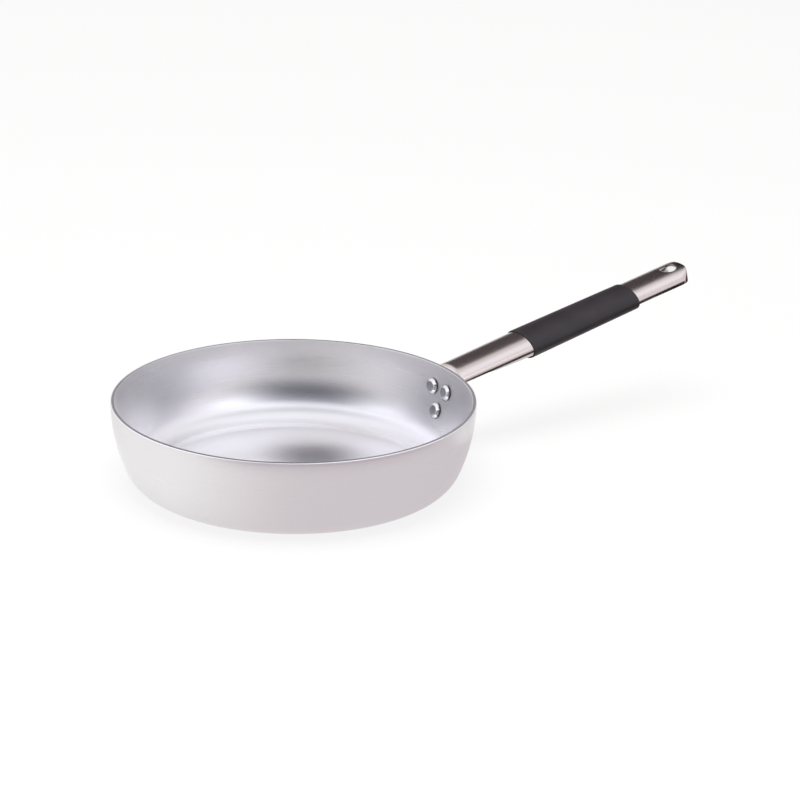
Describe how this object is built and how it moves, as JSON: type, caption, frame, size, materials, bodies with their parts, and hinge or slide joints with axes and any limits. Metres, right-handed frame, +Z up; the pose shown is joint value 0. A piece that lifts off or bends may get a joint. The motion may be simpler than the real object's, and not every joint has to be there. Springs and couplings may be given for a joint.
{
  "type": "saute pan",
  "caption": "Round aluminium saute pan with a flat base and bulging wall, a riveted polished steel handle with a black rubber grip sleeve, and a hanging hole.",
  "frame": {"origin": "middle of the flat underside of the pan's base", "axes": "+Z up along the pan's axis, +X from the pan's axis along the handle, +Y completes the right-handed frame"},
  "size_m": [0.5151, 0.28, 0.1144],
  "materials": {
    "pan_aluminium": "satin, brushed in circles",
    "handle_steel": "polished",
    "grip_rubber": "matt",
    "rivet_aluminium": "turned"
  },
  "bodies": {
    "root": {"pan_body": "pan_aluminium", "handle": "handle_steel", "grip_sleeve": "grip_rubber", "rivet_left": "rivet_aluminium", "rivet_right": "rivet_aluminium", "rivet_lower": "rivet_aluminium"}
  },
  "joints": []
}
